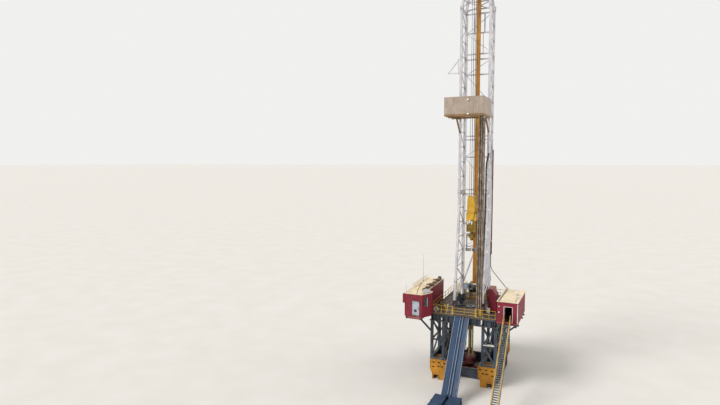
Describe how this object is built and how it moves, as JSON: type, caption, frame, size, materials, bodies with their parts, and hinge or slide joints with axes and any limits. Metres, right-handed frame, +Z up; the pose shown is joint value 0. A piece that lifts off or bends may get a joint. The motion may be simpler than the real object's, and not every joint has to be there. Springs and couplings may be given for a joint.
{
  "type": "oil drilling rig, half-size scale model",
  "caption": "Land drilling rig on side boxes with open lattice mast, racking board, top drive, cabins, ramp and stair; a half-size model.",
  "frame": {"origin": "middle of the ground box under the rig, on the ground", "axes": "+Z up the mast, -Y towards the V-door ramp and catwalk, +X to the right as seen from the catwalk"},
  "size_m": [7.09, 13.85, 27.29],
  "materials": {
    "dark_steel": "satin",
    "grey_steel": "satin",
    "yellow_paint": "satin",
    "deck_plate": "satin",
    "maroon_paint": "satin",
    "olive_paint": "satin",
    "ramp_blue": "satin",
    "red_paint": "satin",
    "roof_cream": "satin",
    "door_grey": "satin",
    "window_glass": "gloss",
    "mast_grey": "satin",
    "shoe_purple": "satin",
    "board_tan": "satin",
    "pipe_steel": "satin",
    "wire_rope": "satin",
    "bare_steel": "satin",
    "cable_black": "matte",
    "hose_red": "matte"
  },
  "bodies": {
    "rig": {"base_skid_left": "dark_steel", "base_skid_right": "dark_steel", "spreader_beams": "dark_steel", "box_trusses_left": "grey_steel", "box_trusses_right": "grey_steel", "end_frames": "grey_steel", "walking_pods": "yellow_paint", "walking_feet": "bare_steel", "floor_beams": "dark_steel", "drill_floor": "deck_plate", "rotary_table": "dark_steel", "blowout_preventer": "maroon_paint", "bell_nipple": "olive_paint", "v_door_ramp": "ramp_blue", "catwalk": "ramp_blue", "stair_stringers": "grey_steel", "stair_treads": "grey_steel", "stair_handrails": "yellow_paint", "floor_handrails": "yellow_paint", "doghouse_floor": "red_paint", "doghouse_walls": "red_paint", "doghouse_roof": "roof_cream", "doghouse_glass": "window_glass", "doghouse_locker": "red_paint", "doghouse_supports": "dark_steel", "cabin_floor": "red_paint", "cabin_walls": "red_paint", "cabin_roof": "roof_cream", "cabin_supports": "dark_steel", "cabin_cable": "cable_black", "drawworks": "yellow_paint", "drawworks_cabinet": "roof_cream", "machinery_cabinet": "red_paint", "air_winch": "yellow_paint", "iron_roughneck": "maroon_paint", "mast_shoes": "shoe_purple", "mast_lower_left": "mast_grey", "mast_lower_right": "mast_grey", "mast_lower_back": "mast_grey", "mast_upper_left": "mast_grey", "mast_upper_right": "mast_grey", "mast_upper_back": "mast_grey", "crown_section": "mast_grey", "crown_block": "mast_grey", "leg_side_plate": "mast_grey", "davit_brackets": "mast_grey", "racking_board": "board_tan", "board_fingers": "board_tan", "wind_walls": "board_tan", "guide_beam": "yellow_paint", "drilling_lines": "wire_rope", "pipe_stands": "pipe_steel", "standpipe": "hose_red"},
    "v_gate": {"v_door_gate": "yellow_paint"},
    "doghouse_leaf": {"doghouse_door": "door_grey"},
    "cabin_leaf": {"cabin_door": "door_grey"},
    "davit_arm": {"davit": "mast_grey"},
    "hoist": {"travelling_block": "yellow_paint", "top_drive": "yellow_paint"},
    "links": {"pipe_links": "bare_steel"}
  },
  "joints": [
    {"name": "hoist_travel", "type": "slide", "parent": "rig", "child": "hoist", "axis": [0, 0, 1], "range_m": [-3.6, 13.9], "deforming": ["drilling_lines"]},
    {"name": "link_tilt", "type": "hinge", "parent": "hoist", "child": "links", "pos_m": [0.055, 3.325, 9.43], "axis": [1, 0, 0], "range_deg": [-20, 8]},
    {"name": "davit_swing", "type": "hinge", "parent": "rig", "child": "davit_arm", "pos_m": [-1.06, 3.575, 20.29], "axis": [0, 0, 1], "range_deg": [-90, 90]},
    {"name": "v_door_gate_swing", "type": "hinge", "parent": "rig", "child": "v_gate", "pos_m": [-0.528, 0.965, 4.61], "axis": [0, 0, 1], "range_deg": [-90, 0]},
    {"name": "doghouse_door_swing", "type": "hinge", "parent": "rig", "child": "doghouse_leaf", "pos_m": [-2.865, -0.384, 4.55], "axis": [0, 0, 1], "range_deg": [-110, 0]},
    {"name": "cabin_door_swing", "type": "hinge", "parent": "rig", "child": "cabin_leaf", "pos_m": [2.715, 0.684, 4.55], "axis": [0, 0, 1], "range_deg": [-100, 20]}
  ]
}
